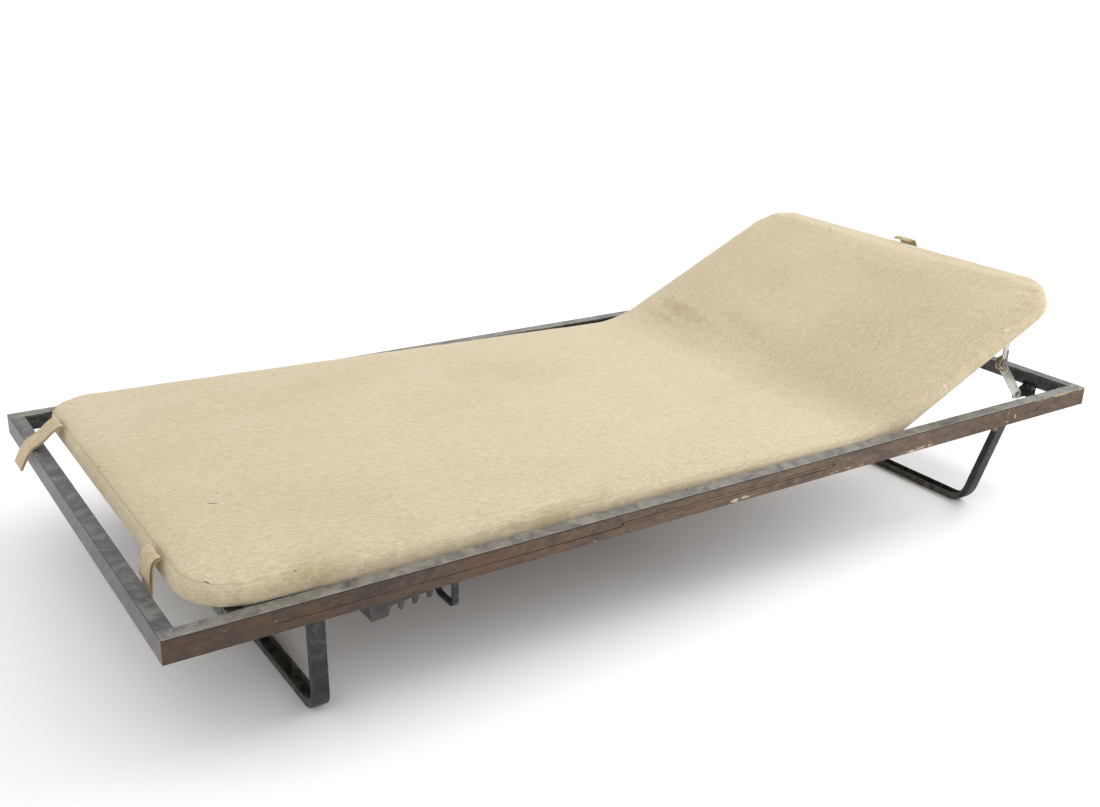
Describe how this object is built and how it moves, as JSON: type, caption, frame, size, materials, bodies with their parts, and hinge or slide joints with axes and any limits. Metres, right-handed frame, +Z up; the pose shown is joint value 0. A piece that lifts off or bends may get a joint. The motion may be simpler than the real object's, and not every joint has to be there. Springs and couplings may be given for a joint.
{
  "type": "ambulance cot",
  "caption": "Low steel-framed cot with bent loop legs and a thin cloth pad in two hinged sections: a liftable foot section and a propped head section.",
  "frame": {"origin": "on the floor under the middle of the whole object's box", "axes": "+X towards the head end, +Y towards the far long side, +Z up"},
  "size_m": [2.0238, 0.93, 0.4639],
  "materials": {
    "rail_paint": "worn dark paint over primer and rust on hot-rolled steel angle",
    "leg_paint": "worn satin charcoal paint",
    "section_paint": "matt black paint",
    "bare_steel": "dull bare steel",
    "zinc_steel": "dull zinc plating",
    "brass_disc": "tarnished, olive brown",
    "board": "dark hardboard",
    "pad_cloth": "coarse heathered ecru upholstery weave",
    "webbing": "ecru cotton webbing",
    "buffer_rubber": "matt"
  },
  "bodies": {
    "frame": {"near_rail": "rail_paint", "far_rail": "rail_paint", "foot_rail": "rail_paint", "head_rail": "rail_paint", "foot_leg": "leg_paint", "head_leg": "leg_paint", "leg_lugs": "rail_paint", "hinge_shaft": "bare_steel", "shaft_clips": "bare_steel", "hinge_bracket_near": "leg_paint", "hinge_bracket_far": "leg_paint", "keeper_near": "leg_paint", "keeper_far": "leg_paint", "stay_bracket_near": "leg_paint", "stay_bracket_far": "leg_paint", "stay_foot_pins": "bare_steel", "bracket_screws": "bare_steel", "foot_stop_ledges": "leg_paint", "foot_stop_buffers": "buffer_rubber"},
    "foot_section": {"foot_side_bar_near": "section_paint", "foot_side_bar_far": "section_paint", "foot_end_bar": "section_paint", "foot_cross_bars": "section_paint", "foot_board": "board", "foot_board_rivets": "bare_steel", "foot_hinge_eyes": "section_paint", "foot_pad": "pad_cloth", "foot_strap_far": "webbing", "foot_strap_near": "webbing", "stay_pins": "bare_steel", "stay_spacers": "bare_steel"},
    "head_section": {"head_side_bar_near": "section_paint", "head_side_bar_far": "section_paint", "head_end_bar": "section_paint", "head_cross_bars": "section_paint", "head_board": "board", "head_board_rivets": "bare_steel", "head_hinge_eyes": "section_paint", "head_pad": "pad_cloth", "head_strap": "webbing", "stay_lugs": "section_paint", "stay_head_pins": "bare_steel"},
    "notched_stays": {"notched_stay_near": "section_paint", "notched_stay_far": "section_paint", "stay_tie_bar": "section_paint"},
    "lower_arm_near": {"lower_arm_near": "zinc_steel", "ratchet_wheel_near": "zinc_steel", "elbow_boss_near": "bare_steel"},
    "lower_arm_far": {"lower_arm_far": "zinc_steel", "ratchet_wheel_far": "zinc_steel", "elbow_boss_far": "bare_steel"},
    "upper_arm_near": {"upper_arm_near": "zinc_steel", "pawl_disc_near": "brass_disc", "elbow_rivet_near": "bare_steel", "elbow_spring_near": "bare_steel"},
    "upper_arm_far": {"upper_arm_far": "zinc_steel", "pawl_disc_far": "brass_disc", "elbow_rivet_far": "bare_steel", "elbow_spring_far": "bare_steel"}
  },
  "joints": [
    {"name": "foot_raise", "type": "hinge", "parent": "frame", "child": "foot_section", "pos_m": [0.425, 0, 0.172], "axis": [0, 1, 0], "range_deg": [0, 10.75]},
    {"name": "head_raise", "type": "hinge", "parent": "frame", "child": "head_section", "pos_m": [0.425, 0, 0.172], "axis": [0, -1, 0], "range_deg": [-20, 1.5]},
    {"name": "notched_stay_swing", "type": "hinge", "parent": "foot_section", "child": "notched_stays", "pos_m": [-0.347, 0, 0.191], "axis": [0, -1, 0], "range_deg": [-0.5, 42.85]},
    {"name": "lower_arm_swing_near", "type": "hinge", "parent": "frame", "child": "lower_arm_near", "pos_m": [0.975, -0.331, 0.174], "axis": [0, -1, 0], "range_deg": [-6.7, 77.1]},
    {"name": "upper_arm_swing_near", "type": "hinge", "parent": "head_section", "child": "upper_arm_near", "pos_m": [0.903, -0.331, 0.368], "axis": [0, -1, 0], "range_deg": [-20.38, 1.99]},
    {"name": "lower_arm_swing_far", "type": "hinge", "parent": "frame", "child": "lower_arm_far", "pos_m": [0.975, 0.331, 0.174], "axis": [0, -1, 0], "range_deg": [-6.7, 77.1]},
    {"name": "upper_arm_swing_far", "type": "hinge", "parent": "head_section", "child": "upper_arm_far", "pos_m": [0.903, 0.331, 0.368], "axis": [0, -1, 0], "range_deg": [-20.38, 1.99]}
  ],
  "couplings": [
    {"joint": "notched_stay_swing", "follows": "foot_raise", "ratio": 3.94},
    {"joint": "lower_arm_swing_near", "follows": "head_raise", "ratio": -3.8038},
    {"joint": "upper_arm_swing_near", "follows": "head_raise", "ratio": 0.9938},
    {"joint": "lower_arm_swing_far", "follows": "head_raise", "ratio": -3.8038},
    {"joint": "upper_arm_swing_far", "follows": "head_raise", "ratio": 0.9938}
  ]
}
